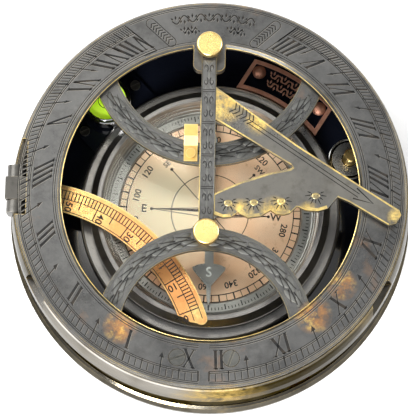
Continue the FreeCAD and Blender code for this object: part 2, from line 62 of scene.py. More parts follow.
RING_TOP = top_of("hour_ring")
SPIDER_TOP = top_of("upper_spider_arc")
BAR_LOW, BAR_HIGH = low_high("gnomon_bar")
NOON = (BAR_LOW.x + BAR_HIGH.x) / 2
PLATE_TOP = top_of("gnomon_plate")
CARD_TOP = top_of("compass_card")
CHAPTER_TOP = top_of("chapter_ring")
ARC_TOP = top_of("latitude_arc")

# Printed and engraved lines start this far below their surface and stand this far above it.
SUNK = 0.02
PROUD = 0.03


# -------------------- mesh helpers


def polar(radius, degrees, centre=(0.0, 0.0)):
    angle = math.radians(degrees)
    return (centre[0] + radius * math.cos(angle), centre[1] + radius * math.sin(angle))


def placed(name, data):
    """A new object in the scene that holds a mesh, a curve, a lamp or a camera."""
    thing = bpy.data.objects.new(name, data)
    bpy.context.scene.collection.objects.link(thing)
    return thing


def mesh_piece(name, mesh, body, material):
    """Put a finished mesh, made in millimetres, into the scene on its body."""
    mesh.transform(Matrix.Scale(MM, 4))
    mesh.materials.clear()
    mesh.materials.append(material)
    piece = placed(name, mesh)
    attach(piece, body)
    return piece


class Sheetwork:
    """Gathers flat-topped prisms on one surface, in millimetres, that become one mesh."""

    def __init__(self, surface, sunk=SUNK, proud=PROUD):
        self.points = []
        self.faces = []
        self.surface = surface
        self.between(sunk, proud)

    def between(self, sunk, proud):
        """The next prisms run from this far below the surface to this far above it."""
        self.bottom = self.surface - sunk
        self.top = self.surface + proud

    def prism(self, outline):
        """A straight prism; a clockwise outline is turned round first."""
        area = sum(a[0] * b[1] - b[0] * a[1] for a, b in zip(outline, outline[1:] + outline[:1]))
        if area < 0:
            outline = outline[::-1]
        count = len(outline)
        start = len(self.points)
        self.points += [(x, y, height) for height in (self.bottom, self.top) for x, y in outline]
        self.faces.append([start + count + index for index in range(count)])
        self.faces.append([start + index for index in reversed(range(count))])
        for index in range(count):
            after = (index + 1) % count
            self.faces.append([start + index, start + after, start + count + after, start + count + index])

    def stroke(self, path, width, closed=False):
        """A band along a path of points; width is a number, or a function of the part of the path done."""
        left, right = [], []
        count = len(path)
        for index, point in enumerate(path):
            before = path[(index - 1) % count] if closed or index else point
            after = path[(index + 1) % count] if closed or index < count - 1 else point
            way = Vector((after[0] - before[0], after[1] - before[1])).normalized()
            wide = width(index / (count - 1)) if callable(width) else width
            side = Vector((-way.y, way.x)) * wide / 2
            left.append((point[0] + side.x, point[1] + side.y))
            right.append((point[0] - side.x, point[1] - side.y))
        steps = count if closed else count - 1
        for index in range(steps):
            after = (index + 1) % count
            self.prism([left[index], right[index], right[after], left[after]])

    def arc(self, radius, start, stop, width, centre=(0.0, 0.0), step=2.0):
        """A band of even width along an arc, from one angle to a larger one."""
        count = max(2, int(abs(stop - start) / step) + 1)
        turns = [start + (stop - start) * index / (count - 1) for index in range(count)]
        self.stroke([polar(radius, turn, centre) for turn in turns], width)

    def disc(self, centre, radius, sides):
        self.prism([polar(radius, 360 * index / sides, centre) for index in range(sides)])

    def dome(self, centre, along, radii, rise, sides=14):
        """A low rounded boss, longer along one direction (degrees), its foot just under the surface."""
        rings = 3
        foot = -0.01
        turn = math.radians(along)
        start = len(self.points)
        for level in range(rings):
            lift = level / rings
            scale = math.sqrt(1 - lift**2)
            for index in range(sides):
                angle = 2 * math.pi * index / sides
                across, ahead = radii[1] * scale * math.sin(angle), radii[0] * scale * math.cos(angle)
                self.points.append((
                    centre[0] + ahead * math.cos(turn) - across * math.sin(turn),
                    centre[1] + ahead * math.sin(turn) + across * math.cos(turn),
                    self.surface + (rise * lift if level else foot),
                ))
        self.points.append((centre[0], centre[1], self.surface + rise))
        for level in range(rings - 1):
            for index in range(sides):
                after = (index + 1) % sides
                low, high = start + level * sides, start + (level + 1) * sides
                self.faces.append([low + index, low + after, high + after, high + index])
        last = start + (rings - 1) * sides
        for index in range(sides):
            self.faces.append([last + index, last + (index + 1) % sides, len(self.points) - 1])
        self.faces.append([start + index for index in reversed(range(sides))])

    def glyphs(self, text, centre, size, facing):
        """Lettering of one height, its tops towards a direction in degrees."""
        turn = math.radians(facing - 90)
        points, faces = flat_text(text)
        start = len(self.points)
        for height in (self.bottom, self.top):
            for x, y in points:
                across, up = x * size, y * size
                self.points.append((centre[0] + across * math.cos(turn) - up * math.sin(turn),
                                    centre[1] + across * math.sin(turn) + up * math.cos(turn), height))
        count = len(points)
        edges = dict.fromkeys(edge for face in faces for edge in zip(face, face[1:] + face[:1]))
        for face in faces:
            self.faces.append([start + count + index for index in face])
            self.faces.append([start + index for index in reversed(face)])
        for a, b in edges:
            if (b, a) not in edges:
                self.faces.append([start + a, start + b, start + count + b, start + count + a])

    def piece(self, name, body, slot, material, smooth=False):
        mesh = bpy.data.meshes.new(name)
        mesh.from_pydata(self.points, [], self.faces)
        mesh.update()
        if smooth:
            mesh.shade_smooth()
        return mesh_piece(name, mesh, body, material)


@lru_cache(maxsize=None)
def flat_text(text):
    """The points and triangles of a word in Blender's own font, one unit high and centred."""
    curve = bpy.data.curves.new("glyphs", "FONT")
    curve.body = text
    curve.resolution_u = 3
    curve.offset = 0.018
    holder = placed("glyphs", curve)
    bpy.context.view_layer.update()
    solved = holder.evaluated_get(bpy.context.evaluated_depsgraph_get())
    mesh = bpy.data.meshes.new_from_object(solved)
    form = bmesh.new()
    form.from_mesh(mesh)
    bmesh.ops.remove_doubles(form, verts=form.verts, dist=1e-5)
    bmesh.ops.triangulate(form, faces=form.faces)
    points = [(vert.co.x, vert.co.y) for vert in form.verts]
    faces = [[vert.index for vert in face.verts] for face in form.faces]
    form.free()
    faces = [face if turns_left([points[index] for index in face]) else face[::-1] for face in faces]
    low_x, high_x = min(x for x, _ in points), max(x for x, _ in points)
    low_y, high_y = min(y for _, y in points), max(y for _, y in points)
    tall = high_y - low_y
    middle_x, middle_y = (low_x + high_x) / 2, (low_y + high_y) / 2
    points = [((x - middle_x) / tall, (y - middle_y) / tall) for x, y in points]
    bpy.data.objects.remove(holder)
    bpy.data.curves.remove(curve)
    bpy.data.meshes.remove(mesh)
    return points, faces


def turns_left(triangle):
    (ax, ay), (bx, by), (cx, cy) = triangle
    return (bx - ax) * (cy - ay) - (cx - ax) * (by - ay) > 0


def lathe_mesh(name, profile, segments=192, centre=(0.0, 0.0), closed=True):
    """A turned mesh from (radius, height) corners, about a vertical axis."""
    points, faces = [], []
    count = len(profile)
    for index in range(segments):
        points += [(*polar(radius, 360 * index / segments, centre), height) for radius, height in profile]
    for index in range(segments):
        here, there = index * count, (index + 1) % segments * count
        for step in range(count if closed else count - 1):
            after = (step + 1) % count
            faces.append([here + step, there + step, there + after, here + after])
    mesh = bpy.data.meshes.new(name)
    mesh.from_pydata(points, [], faces)
    form = bmesh.new()
    form.from_mesh(mesh)
    bmesh.ops.remove_doubles(form, verts=form.verts, dist=1e-5)
    bmesh.ops.recalc_face_normals(form, faces=form.faces)
    form.to_mesh(mesh)
    form.free()
    mesh.shade_smooth()
    mesh.set_sharp_from_angle(angle=math.radians(30))
    return mesh


def bead(radius, height, half_width, half_height):
    """The eight corners of a bead's section, at a radius and a height."""
    turns = [math.radians(45 * step) for step in range(8)]
    return [(radius + half_width * math.cos(turn), height + half_height * math.sin(turn)) for turn in turns]


def small_ring(name, radius, height, thick, body, material, centre=(0.0, 0.0), segments=160):
    """A round bead that runs round a vertical axis."""
    section = bead(radius, height, thick, thick)
    mesh_piece(name, lathe_mesh(name, section, segments, centre), body, material)


# -------------------- materials


class Nodes:
    """A short way to write a node tree."""

    def __init__(self, name):
        self.material = bpy.data.materials.new(name)
        self.material.use_nodes = True
        self.tree = self.material.node_tree
        self.shader = self.tree.nodes["Principled BSDF"]
        self.place = self.add("ShaderNodeTexCoord").outputs["Object"]

    def add(self, kind, inputs=None, **settings):
        """A node of one kind, with a number, a tuple or another node's output for each input named."""
        node = self.tree.nodes.new(kind)
        for key, setting in settings.items():
            setattr(node, key, setting)
        for key, source in (inputs or {}).items():
            self.link(source, node.inputs[key])
        return node

    def link(self, source, socket):
        if isinstance(source, (int, float)):
            socket.default_value = source
        elif isinstance(source, tuple):
            socket.default_value = (*source, 1.0) if socket.type == "RGBA" else source
        else:
            self.tree.links.new(source, socket)

    def noise(self, scale, detail=4.0, rough=0.55, stretch=None):
        """Noise with features about 1/scale metres across."""
        place = self.place
        if stretch:
            place = self.add("ShaderNodeMapping", {"Vector": place, "Scale": stretch}).outputs["Vector"]
        inputs = {"Vector": place, "Scale": scale, "Detail": detail, "Roughness": rough}
        return self.add("ShaderNodeTexNoise", inputs).outputs["Fac"]

    def ramp(self, value, low, high, start=0.0, stop=1.0):
        """Value between low and high, spread from start to stop."""
        inputs = {"Value": value, "From Min": low, "From Max": high, "To Min": start, "To Max": stop}
        return self.add("ShaderNodeMapRange", inputs).outputs["Result"]

    def mix(self, factor, first, second):
        """The first colour where the factor is 0, the second where it is 1."""
        return self.add("ShaderNodeMix", {0: factor, 6: first, 7: second}, data_type="RGBA").outputs[2]

    def calc(self, operation, first, second=0.0):
        return self.add("ShaderNodeMath", {0: first, 1: second}, operation=operation).outputs[0]

    def times(self, first, second):
        return self.calc("MULTIPLY", first, second)

    def edges(self, radius):
        """1 on rounded-over edges, 0 on flats."""
        rounded = self.add("ShaderNodeBevel", {"Radius": radius}, samples=6).outputs["Normal"]
        flat = self.add("ShaderNodeNewGeometry").outputs["Normal"]
        dot = self.add("ShaderNodeVectorMath", {0: rounded, 1: flat}, operation="DOT_PRODUCT")
        return self.ramp(dot.outputs["Value"], 0.995, 0.86)

    def near(self, places):
        """1 close to any of the (x, y, z, reach) places, fading to 0 at its reach."""
        total = 0.0
        for x, y, z, reach in places:
            spot = (x * MM, y * MM, z * MM)
            span = self.add("ShaderNodeVectorMath", {0: self.place, 1: spot}, operation="DISTANCE")
            close = self.ramp(span.outputs["Value"], reach * MM, 0.35 * reach * MM)
            total = self.calc("MAXIMUM", close, total)
        return total

    def bump(self, height, distance, strength=0.5):
        node = self.add("ShaderNodeBump", {"Height": height, "Distance": distance, "Strength": strength})
        self.link(node.outputs["Normal"], self.shader.inputs["Normal"])

    def finish(self, color, rough, metal=1.0, **inputs):
        self.link(color, self.shader.inputs["Base Color"])
        self.link(rough, self.shader.inputs["Roughness"])
        self.link(metal, self.shader.inputs["Metallic"])
        for key, setting in inputs.items():
            self.link(setting, self.shader.inputs[key.replace("_", " ")])
        return self.material


def aged_metal(name, base, tint, dark, worn, rough=0.36, wear=0.5, edge=0.0005, stain=0.5, relief=0.3,
               copper=0.0, blush=(0.55, 0.27, 0.10), graze=(1.0, 1.0, 1.0), rubbed_and_sheen=(), painted_sheen=(),
               polished=(0.8, 0.8, 0.8)):
    """Patinated metal: two tones in clouds, dark stains, worn bright edges, fine scratches and pits.

    The two lists of places give (x, y, z, reach) in millimetres. Rubbed places are brightened in noisy
    patches: rubbed wear on most metals, a painted golden reflection on the drum. Sheen places get an even
    painted reflection in their own tone."""
    tree = Nodes(name)
    clouds = tree.ramp(tree.noise(55, 6, 0.6), 0.35, 0.68)
    tone = tree.mix(clouds, base, tint)
    speckle = tree.ramp(tree.noise(750, 5, 0.7), 0.4, 0.62, 0.0, 0.45)
    tone = tree.mix(speckle, tone, tint)
    stains = tree.times(tree.ramp(tree.noise(140, 8, 0.7), 0.5, 0.72), stain)
    tone = tree.mix(stains, tone, dark)
    if copper:
        patch = tree.times(tree.ramp(tree.noise(38, 7, 0.62), 0.6, 0.74), copper)
        tone = tree.mix(patch, tone, blush)
        glow = tree.times(tree.ramp(tree.noise(38, 9, 0.72), 0.68, 0.78), copper)
        tone = tree.mix(glow, tone, worn)
    # An even painted reflection, in its own tone.
    if painted_sheen:
        tone = tree.mix(tree.near(painted_sheen), tone, polished)
    # Bright patches: rubbed wear on most metals, a painted golden reflection on the drum.
    if rubbed_and_sheen:
        rub = tree.times(tree.near(rubbed_and_sheen), tree.ramp(tree.noise(260, 8, 0.75), 0.38, 0.6))
        tone = tree.mix(rub, tone, blush)
        polish = tree.times(tree.near(rubbed_and_sheen), tree.ramp(tree.noise(330, 8, 0.75), 0.5, 0.66))
        tone = tree.mix(polish, tone, worn)
    rubbed = tree.ramp(tree.noise(90, 5, 0.6), 0.3, 0.62)
    edges = tree.times(tree.edges(edge), tree.times(rubbed, wear))
    tone = tree.mix(edges, tone, worn)
    scratches = tree.ramp(tree.noise(900, 2, 0.5, stretch=(1.0, 0.12, 1.0)), 0.52, 0.7)
    cross = tree.ramp(tree.noise(800, 2, 0.5, stretch=(0.1, 1.0, 1.0)), 0.56, 0.72)
    grain = tree.times(tree.calc("ADD", scratches, cross), 0.12)
    fine = tree.noise(2400, 3, 0.6)
    roughness = tree.calc("ADD", tree.ramp(clouds, 0, 1, rough, rough + 0.12),
                          tree.ramp(fine, 0.3, 0.7, -0.03, 0.04))
    pits = tree.ramp(tree.noise(1600, 4, 0.6), 0.42, 0.6)
    tree.bump(tree.calc("ADD", grain, tree.times(pits, 0.5)), 0.00005, relief)
    return tree.finish(tone, roughness, Specular_Tint=graze)


def worn_brass():
    """Handled edges: bright brass with patina left in the hollows."""
    tree = Nodes("worn_brass_edge")
    patches = tree.ramp(tree.noise(75, 6, 0.65), 0.4, 0.6)
    tone = tree.mix(patches, (0.3, 0.25, 0.16), (0.97, 0.74, 0.26))
    tone = tree.mix(tree.ramp(tree.noise(500, 5), 0.55, 0.7, 0, 0.5), tone, (0.3, 0.17, 0.07))
    tree.bump(tree.noise(1500, 3), 0.00005, 0.3)
    return tree.finish(tone, tree.ramp(patches, 0, 1, 0.42, 0.3))


ANTIQUE = aged_metal("antique_brass_aged", (0.108, 0.11, 0.112), (0.178, 0.177, 0.172), (0.034, 0.032, 0.03),
                     (0.95, 0.68, 0.2), rough=0.28, wear=0.8, copper=0.45,
                     rubbed_and_sheen=((30.9, -36.6, RING_TOP, 6.0), (39.4, -27.5, RING_TOP, 5.0),
                              (-25.7, -41.1, RING_TOP, 5.5)))
ANTIQUE_WARM = aged_metal("antique_brass_warm", (0.138, 0.137, 0.134), (0.21, 0.203, 0.182),
                          (0.055, 0.048, 0.036), (0.98, 0.74, 0.26), rough=0.26, wear=1.0, edge=0.0006,
                          blush=(0.85, 0.6, 0.17),
                          rubbed_and_sheen=((3.0, 27.0, PLATE_TOP, 8.0), (14.0, 20.5, PLATE_TOP, 4.5),
                                   (9.0, -7.0, PLATE_TOP, 4.5), (19.0, -7.0, PLATE_TOP, 5.5),
                                   (29.0, -6.5, PLATE_TOP, 3.5), (55.0, -7.5, PLATE_TOP, 3.0)))
CHASED = ((0.1, 0.103, 0.1), (0.17, 0.17, 0.158), (0.03, 0.028, 0.024))
LEAF = aged_metal("antique_brass_chased", *CHASED, (0.5, 0.45, 0.32), rough=0.55, wear=0.1, edge=0.0003,
                  relief=0.2)
ANTIQUE_DARK = aged_metal("antique_brass_relief", *CHASED, (0.6, 0.52, 0.34), rough=0.3, wear=0.3,
                          edge=0.0003)
# The drum's dark turned brass. The gold patch at its front and the pale patches down its front left are a
# painted reflection of the white floor in the polished wall.
DARK = aged_metal("dark_brass_turned", (0.062, 0.058, 0.05), (0.115, 0.105, 0.085), (0.02, 0.017, 0.013),
                  (0.9, 0.66, 0.26), rough=0.1, wear=0.6, copper=0.3, graze=(0.3, 0.29, 0.27), relief=0.12,
                  blush=(0.85, 0.6, 0.22), rubbed_and_sheen=((4.0, -61.0, 32.0, 16.0),), polished=(0.52, 0.5, 0.47),
                  painted_sheen=((-44.0, -42.0, 34.0, 20.0), (-30.0, -53.0, 34.0, 20.0), (-14.0, -60.0, 34.0, 18.0)))
# Worn bright brass; on the gnomon bar's left edge it stands for a painted highlight.
WORN_AND_SHEEN = worn_brass()
# Pale metal for the painted highlight along one side of each engraved cut.
CUT_HIGHLIGHT = aged_metal("engraving_painted_highlight", (0.24, 0.235, 0.22), (0.34, 0.32, 0.28), (0.1, 0.09, 0.075),
                  (0.5, 0.45, 0.32), rough=0.3, wear=0.1)
GUNMETAL = aged_metal("gunmetal_aged", (0.31, 0.305, 0.3), (0.42, 0.41, 0.39), (0.1, 0.098, 0.095),
                      (0.66, 0.6, 0.48), rough=0.27, wear=0.4, relief=0.02)
# Dark gunmetal for small dark fittings; on the hinge knuckles, block and pin its darkness is partly painted
# shade, for a hinge that sits low and shaded.
DARK_GUNMETAL_AND_SHADE = aged_metal("gunmetal_dark_and_hinge_shade", (0.075, 0.072, 0.066), (0.12, 0.115, 0.105), (0.02, 0.02, 0.02),
                  (0.5, 0.44, 0.34), rough=0.3, wear=0.4, relief=0.15)
PEWTER = aged_metal("chapter_ring_grey", (0.36, 0.355, 0.34), (0.46, 0.44, 0.41), (0.15, 0.14, 0.13),
                    (0.7, 0.62, 0.45), rough=0.3, wear=0.0, relief=0.03)
BRIGHT = aged_metal("bright_brass_polished", (0.97, 0.74, 0.3), (0.9, 0.62, 0.22), (0.5, 0.27, 0.08),
                    (1.0, 0.88, 0.5), rough=0.24, wear=0.4, stain=0.25)
SPRING = aged_metal("spring_brass_satin", (0.66, 0.46, 0.15), (0.74, 0.5, 0.17), (0.4, 0.22, 0.07),
                    (0.95, 0.8, 0.42), rough=0.46, wear=0.6, stain=0.45)
COPPER = aged_metal("copper_satin", (0.95, 0.5, 0.2), (0.88, 0.4, 0.14), (0.45, 0.15, 0.05),
                    (1.0, 0.8, 0.32), rough=0.24, wear=0.9, stain=0.3, edge=0.0007, blush=(1.0, 0.68, 0.26),
                    rubbed_and_sheen=((-40.0, -1.0, ARC_TOP, 16.0), (-1.5, -33.5, ARC_TOP, 6.0)))
ROSE = aged_metal("nameplate_copper_rose", (0.78, 0.42, 0.3), (0.62, 0.3, 0.2), (0.3, 0.12, 0.07),
                  (0.95, 0.62, 0.45), rough=0.48, wear=0.5, stain=0.6)
STEEL = aged_metal("steel_satin", (0.5, 0.5, 0.48), (0.38, 0.38, 0.37), (0.14, 0.13, 0.12),
                   (0.75, 0.75, 0.72), rough=0.22, relief=0.1)
CHROME = aged_metal("chrome_bright", (0.62, 0.63, 0.64), (0.5, 0.5, 0.5), (0.2, 0.2, 0.2),
                    (0.8, 0.8, 0.8), rough=0.06, stain=0.1, relief=0.03)


def engraving_paint():
    """The black wax that fills every engraved line, cracked back to brown here and there."""
    tree = Nodes("engraving_fill")
    tone = tree.mix(tree.ramp(tree.noise(260, 5), 0.45, 0.75), (0.004, 0.004, 0.004), (0.03, 0.022, 0.014))
    tree.bump(tree.noise(2200, 3), 0.00004, 0.4)
    return tree.finish(tone, 0.55, 0.0, Specular_IOR_Level=0.3)


def lacquer():
    """Black lacquered floor with faint dust."""
    tree = Nodes("black_lacquer_floor")
    dust = tree.ramp(tree.noise(900, 6, 0.7), 0.62, 0.8, 0.0, 0.5)
    tone = tree.mix(dust, (0.004, 0.005, 0.009), (0.05, 0.06, 0.08))
    tree.bump(tree.noise(60, 3), 0.0001, 0.12)
    return tree.finish(tone, tree.ramp(dust, 0, 1, 0.09, 0.35), 0.0, Coat_Weight=0.6)


def card_copper():
    """Copper card, brushed in circles, mottled pink and gold, with a painted highlight left of its middle.
    """
    tree = Nodes("card_copper_brushed")
    split = tree.add("ShaderNodeSeparateXYZ", {0: tree.place})
    squares = [tree.times(axis, axis) for axis in split.outputs[:2]]
    radius = tree.calc("SQRT", tree.calc("ADD", *squares))
    inputs = {"W": radius, "Scale": 2600, "Detail": 3}
    rings = tree.add("ShaderNodeTexNoise", inputs, noise_dimensions="1D").outputs["Fac"]
    tone = tree.mix(tree.ramp(tree.noise(70, 5), 0.35, 0.65), (0.97, 0.68, 0.47), (0.92, 0.57, 0.35))
    tone = tree.mix(tree.ramp(tree.noise(420, 6, 0.7), 0.58, 0.76, 0, 0.6), tone, (0.5, 0.24, 0.12))
    # A painted highlight: a pale cream patch left of the card's middle, where the light falls.
    painted_highlight = tree.times(tree.near(((-15.0, 1.0, CARD_TOP, 21.0),)), 0.8)
    tone = tree.mix(painted_highlight, tone, (1.0, 0.87, 0.6))
    tree.bump(rings, 0.00004, 0.35)
    return tree.finish(tone, tree.ramp(rings, 0.3, 0.7, 0.3, 0.42), 0.55)


def print_ink(name, color, worn):
    """Flat printing ink, worn paler in small patches."""
    tree = Nodes(name)
    tone = tree.mix(tree.ramp(tree.noise(700, 5), 0.5, 0.7), color, worn)
    return tree.finish(tone, 0.5, 0.0)


def clear_glass(name, tint):
    """Thin clear glass: what is under it shows through, and its face reflects."""
    tree = Nodes(name)
    see = tree.add("ShaderNodeBsdfTransparent", {"Color": tint}).outputs[0]
    smears = tree.ramp(tree.noise(300, 3), 0.3, 0.7, 0.02, 0.05)
    gloss = tree.add("ShaderNodeBsdfGlossy", {"Roughness": smears}).outputs[0]
    fresnel = tree.add("ShaderNodeFresnel", {"IOR": 1.2}).outputs[0]
    mixer = tree.add("ShaderNodeMixShader", {0: fresnel, 1: see, 2: gloss})
    tree.link(mixer.outputs[0], tree.tree.nodes["Material Output"].inputs["Surface"])
    return tree.material


def spirit():
    """Yellow-green liquid of the level, with a faint painted glow standing in for the light through it."""
    tree = Nodes("level_spirit")
    tone = tree.mix(tree.ramp(tree.noise(180, 2), 0.35, 0.65), (0.62, 0.9, 0.03), (0.78, 0.97, 0.12))
    return tree.finish(tone, 0.12, 0.0, Coat_Weight=0.5, Emission_Color=(0.55, 0.85, 0.02),
                       Emission_Strength=0.25)


FILL = engraving_paint()
LACQUER = lacquer()
CARD = card_copper()
INK = print_ink("card_ink", (0.018, 0.01, 0.008), (0.06, 0.03, 0.02))
PALE_INK = print_ink("chapter_ink", (0.75, 0.75, 0.72), (0.4, 0.4, 0.38))
GLASS = clear_glass("compass_glass_clear", (0.97, 0.985, 0.98))
LENS = clear_glass("level_lens_clear", (0.95, 1.0, 0.9))
SPIRIT = spirit()

CAD_MATERIALS = {
    DARK: ("case_drum", "base_plate"),
    LACQUER: ("floor_plate", "nameplate_inlay", "level_mount_plate"),
    GUNMETAL: ("compass_housing", "compass_bezel", "compass_needle"),
    DARK_GUNMETAL_AND_SHADE: ("arc_hinge_bracket", "hinge_bracket", "ring_hinge_block", "hinge_pin", "ring_catch",
           "level_screws"),
    PEWTER: ("chapter_ring",),
    ANTIQUE: ("hour_ring", "gnomon_bar", "upper_spider_arc", "lower_spider_arc"),
    ANTIQUE_WARM: ("gnomon_plate",),
    ANTIQUE_DARK: ("ring_catch_screws",),
    BRIGHT: ("levelling_screw_right", "levelling_screw_rear", "levelling_screw_front", "needle_cap",
             "gnomon_post_upper", "gnomon_post_lower", "post_knobs"),
    SPRING: ("leaf_spring", "leaf_spring_rivet"),
    COPPER: ("latitude_arc", "latitude_arc_knuckle"),
    ROSE: ("nameplate", "nameplate_rivets"),
    CARD: ("compass_card",),
    CHROME: ("level_housing",),
    STEEL: ("base_screws", "needle_pivot", "arc_hinge_pin", "gnomon_pivot_pins"),
    GLASS: ("compass_glass",),
    LENS: ("level_lens",),
    SPIRIT: ("level_liquid",),
}
for material, names in CAD_MATERIALS.items():
    for node_name in names:
        for material_slot in nodes[node_name].material_slots:
            material_slot.material = material


# -------------------- hour ring

# The hour lines of each half spread from a point on the noon line, half the gnomon's gap to its own side.
FAN_HEIGHT = 32.1
HALF_GAP = 1.6
HOUR_STEP = 15.0
TICKS_PER_HOUR = 12
SCALE_END = 127.5
BORDER = (57.5, 57.0)
TICK_BAND = (54.6, 56.8)
MIDDLE_LINES = (54.4, 53.9)
INNER_LINES = (47.0, 46.4)
NUMERAL_FOOT = 53.2
NUMERAL_HEAD = 47.7
NUMERAL_WIDTHS = {"I": 1.7, "V": 3.8, "X": 4.0}
THICK_STROKE = 0.85
THIN_STROKE = 0.42
LEFT_HOURS = ("I", "II", "III", "IIII", "V", "VI", "VII", "VIII")
RIGHT_HOURS = ("XI", "X", "IX", "VIII", "VII", "VI", "V", "IIII")


def dial_point(side, turn, radius, gap=HALF_GAP):
    """Where a line at an hour angle from its fan point crosses a circle about the dial's middle."""
    angle = math.radians(turn)
    start = Vector((NOON + side * gap, FAN_HEIGHT))
    way = Vector((side * math.sin(angle), -math.cos(angle)))
    along = start.dot(way)
    reach = -along + math.sqrt(along**2 - start.length_squared + radius**2)
    return tuple(start + way * reach)


def numeral(work, side, turn, text, gap=HALF_GAP, shift=0.0):
    """Roman numeral with thick and thin strokes and serifs, leaning along its hour line."""
    middle_radius = 50.4
    ends = [Vector(dial_point(side, turn + half, middle_radius, gap)) for half in (0.5, -0.5)]
    per_degree = (ends[0] - ends[1]).length

    def spot(across, up):
        radius = NUMERAL_FOOT + (NUMERAL_HEAD - NUMERAL_FOOT) * up
        return dial_point(side, turn + side * across / per_degree, radius, gap)

    def bar(low, high, thick):
        """A straight stroke in three pieces, so that it spreads with the hour lines."""
        steps = 3
        for step in range(steps):
            (x1, y1), (x2, y2) = [
                (low[0] + (high[0] - low[0]) * part, low[1] + (high[1] - low[1]) * part)
                for part in (step / steps, (step + 1) / steps)
            ]
            half = thick / 2
            work.prism([spot(x1 - half, y1), spot(x1 + half, y1), spot(x2 + half, y2), spot(x2 - half, y2)])

    def serif(across, up, half=0.75):
        bar((across, max(0.0, up - 0.04)), (across, min(1.0, up + 0.04)), 2 * half)

    cursor = shift - sum(NUMERAL_WIDTHS[letter] for letter in text) / 2
    for letter in text:
        middle = cursor + NUMERAL_WIDTHS[letter] / 2
        half = NUMERAL_WIDTHS[letter] / 2 - 0.65
        if letter == "I":
            bar((middle, 0), (middle, 1), THICK_STROKE)
            serif(middle, 0, 0.7)
            serif(middle, 1, 0.7)
        elif letter == "V":
            bar((middle - half, 1), (middle, 0), THICK_STROKE)
            bar((middle + half, 1), (middle, 0), THIN_STROKE)
            serif(middle - half, 1)
            serif(middle + half, 1)
        else:
            bar((middle - half, 1), (middle + half, 0), THICK_STROKE)
            bar((middle + half, 1), (middle - half, 0), THIN_STROKE)
            for end in (-half, half):
                serif(middle + end, 0)
                serif(middle + end, 1)
        cursor += NUMERAL_WIDTHS[letter]


def hour_scale(work, side, hours):
    """One half of the hour scale: border lines, five-minute ticks, quarter and half marks, numerals."""
    for radius in BORDER + MIDDLE_LINES + INNER_LINES:
        start = math.degrees(math.atan2(*reversed(dial_point(side, 0, radius))))
        stop = math.degrees(math.atan2(*reversed(dial_point(side, SCALE_END, radius))))
        if side < 0:
            stop -= 360 if stop > 0 else 0
        work.arc(radius, start, stop, 0.24, step=1.5)
    work.stroke([dial_point(side, SCALE_END, radius) for radius in (BORDER[0], INNER_LINES[1])], 0.25)
    for index in range(int(SCALE_END / HOUR_STEP * TICKS_PER_HOUR) + 1):
        turn = index * HOUR_STEP / TICKS_PER_HOUR
        low, high = TICK_BAND
        width = 0.28
        if index % 3 == 0:
            low = MIDDLE_LINES[1]
            width = 0.34
        if index % TICKS_PER_HOUR == 0:
            width = 0.48
        if index % TICKS_PER_HOUR == TICKS_PER_HOUR // 2:
            low = 51.4
            wings = [dial_point(side, turn + spread, 51.7) for spread in (-0.55, 0.55)]
            work.prism([dial_point(side, turn, 50.1)] + wings)
        work.stroke([dial_point(side, turn, radius) for radius in (low, high)], width)
    for index, text in enumerate(hours, start=1):
        numeral(work, side, index * HOUR_STEP, text)


def vine(work, radius, start, stop, swing, waves, width):
    """A running vine between two angles, with a leaf in each bend."""
    steps = waves * 14
    path = []
    for index in range(steps + 1):
        part = index / steps
        bend = swing * math.sin(2 * math.pi * waves * part)
        path.append(polar(radius + bend, start + (stop - start) * part))
    work.stroke(path, width)
    for index in range(2 * waves):
        angle = start + (stop - start) * (index + 0.5) / (2 * waves)
        outward = 1 if index % 2 else -1
        for spread, size in ((-1.6, 0.42), (0, 0.6), (1.6, 0.42)):
            root = Vector(polar(radius + outward * swing * 0.05, angle + spread / 2))
            tip = Vector(polar(radius + outward * (swing * 0.05 + size * 2.6), angle + spread))
            middle = (root + tip) / 2
            side = (tip - root).orthogonal() * 0.22
            work.prism([tuple(corner) for corner in (root, middle - side, tip, middle + side)])


def cartouche(work, start, way):
    """A long rounded frame filled with chevrons, from its first arc's centre along one direction."""
    rail, length, chevrons = 1.45, 8.6, 8
    across = Vector((-way.y, way.x))
    frame_line = []
    for end, facing in ((length, 1), (0.0, -1)):
        for step in range(7):
            turn = math.radians(90 - 30 * step)
            bulge = way * math.cos(turn) + across * math.sin(turn)
            frame_line.append(tuple(start + way * end + bulge * facing * rail))
    work.stroke(frame_line, 0.25, closed=True)
    for index in range(chevrons):
        middle = start + way * (1.0 + 1.05 * index)
        wings = [middle - way * 0.8 + across * side * (rail - 0.4) for side in (-1, 1)]
        work.stroke([tuple(wings[0]), tuple(middle), tuple(wings[1])], 0.4)


def noon_panel(work):
    """The plain panel over the lug: a vine along it and a chevron cartouche at each end."""
    east_end, west_end = 62.5, 116.5
    for radius in BORDER:
        work.arc(radius, east_end, west_end, 0.2, step=1.5)
    for low, high in ((east_end, 83.4), (96.6, west_end)):
        work.arc(INNER_LINES[1], low, high, 0.2, step=1.5)
    vine(work, 53.9, 76.5, 103.5, swing=1.15, waves=5, width=0.38)
    for low, high in ((79.5, 84.5), (95.5, 100.5)):
        vine(work, 50.2, low, high, swing=0.6, waves=2, width=0.25)
    for side in (-1, 1):
        cartouche(work, Vector((side * 12.6, 45.9)), Vector((side * 7.1, 6.4)).normalized())


